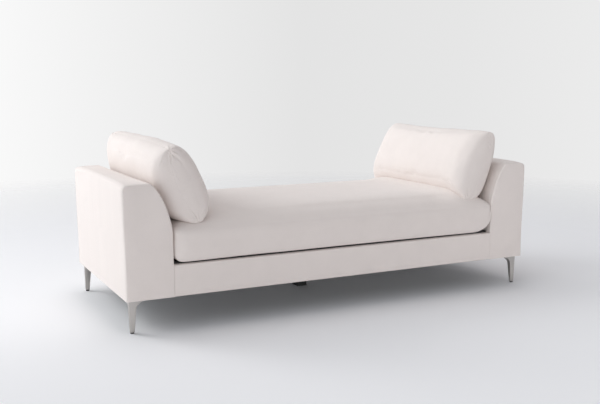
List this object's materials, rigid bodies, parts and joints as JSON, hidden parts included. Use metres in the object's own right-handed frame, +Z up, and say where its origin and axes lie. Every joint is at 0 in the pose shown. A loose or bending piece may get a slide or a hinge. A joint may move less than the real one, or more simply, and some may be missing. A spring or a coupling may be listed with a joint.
{
  "type": "backless divan",
  "caption": "Backless divan with sloped arms, a loose bench cushion, a loose pillow against each arm, tapered metal legs and a middle support leg.",
  "frame": {"origin": "on the floor, under the middle of the divan", "axes": "+X along the length towards the right arm seen from the front, +Y to the back, +Z up"},
  "size_m": [2.172, 0.938, 0.8395],
  "materials": {
    "upholstery_cloth": "matte",
    "leg_metal": "satin",
    "black_wood": "satin",
    "black_plastic": "matte",
    "deck_cloth": "matte",
    "dust_cloth": "matte",
    "frame_wood": "matte",
    "plywood": "matte",
    "panel_board": "matte",
    "foam": "matte",
    "pillow_fill": "matte",
    "felt": "matte",
    "spring_steel": "satin",
    "fastener_steel": "satin",
    "zip_tape": "matte",
    "zip_metal": "satin"
  },
  "bodies": {
    "frame": {"front_rail": "frame_wood", "back_rail": "frame_wood", "left_end_rail": "frame_wood", "right_end_rail": "frame_wood", "centre_stretcher": "frame_wood", "side_stretchers": "frame_wood", "corner_blocks": "frame_wood", "arm_bolts": "fastener_steel", "left_arm_front_board": "plywood", "left_arm_back_board": "plywood", "left_arm_top_rail": "frame_wood", "left_arm_outer_base_rail": "frame_wood", "left_arm_inner_base_rail": "frame_wood", "left_arm_outer_panel": "panel_board", "left_arm_inner_panel": "panel_board", "left_arm_padding": "foam", "left_arm_cover": "upholstery_cloth", "right_arm_front_board": "plywood", "right_arm_back_board": "plywood", "right_arm_top_rail": "frame_wood", "right_arm_outer_base_rail": "frame_wood", "right_arm_inner_base_rail": "frame_wood", "right_arm_outer_panel": "panel_board", "right_arm_inner_panel": "panel_board", "right_arm_padding": "foam", "right_arm_cover": "upholstery_cloth", "seat_springs": "spring_steel", "spring_clips": "black_plastic", "tie_wires": "spring_steel", "insulator": "felt", "deck_pad": "foam", "deck_cover": "deck_cloth", "front_rail_cover": "upholstery_cloth", "back_rail_cover": "upholstery_cloth", "dust_cover": "dust_cloth", "front_left_leg": "leg_metal", "front_right_leg": "leg_metal", "back_left_leg": "leg_metal", "back_right_leg": "leg_metal", "leg_glides": "black_plastic", "leg_screws": "fastener_steel", "centre_leg": "black_wood", "centre_leg_bolt": "fastener_steel"},
    "seat_cushion": {"seat_cover": "upholstery_cloth", "seat_core": "foam", "seat_zip": "zip_tape"},
    "seat_zip_slider": {"seat_zip_slider": "zip_metal"},
    "left_pillow": {"left_pillow_cover": "upholstery_cloth", "left_pillow_fill": "pillow_fill", "left_pillow_zip": "zip_tape"},
    "left_pillow_zip_slider": {"left_pillow_zip_slider": "zip_metal"},
    "right_pillow": {"right_pillow_cover": "upholstery_cloth", "right_pillow_fill": "pillow_fill", "right_pillow_zip": "zip_tape"},
    "right_pillow_zip_slider": {"right_pillow_zip_slider": "zip_metal"}
  },
  "joints": [
    {"name": "seat_lift", "type": "slide", "parent": "frame", "child": "seat_cushion", "axis": [0, 0, 1], "range_m": [0, 0.42]},
    {"name": "left_pillow_lift", "type": "slide", "parent": "seat_cushion", "child": "left_pillow", "axis": [0, 0, 1], "range_m": [0, 0.25]},
    {"name": "right_pillow_lift", "type": "slide", "parent": "seat_cushion", "child": "right_pillow", "axis": [0, 0, 1], "range_m": [0, 0.25]},
    {"name": "seat_zip_run", "type": "slide", "parent": "seat_cushion", "child": "seat_zip_slider", "axis": [1, 0, 0], "range_m": [0, 1.46]},
    {"name": "left_pillow_zip_run", "type": "slide", "parent": "left_pillow", "child": "left_pillow_zip_slider", "axis": [0, 1, 0], "range_m": [0, 0.56]},
    {"name": "right_pillow_zip_run", "type": "slide", "parent": "right_pillow", "child": "right_pillow_zip_slider", "axis": [0, 1, 0], "range_m": [0, 0.56]}
  ]
}
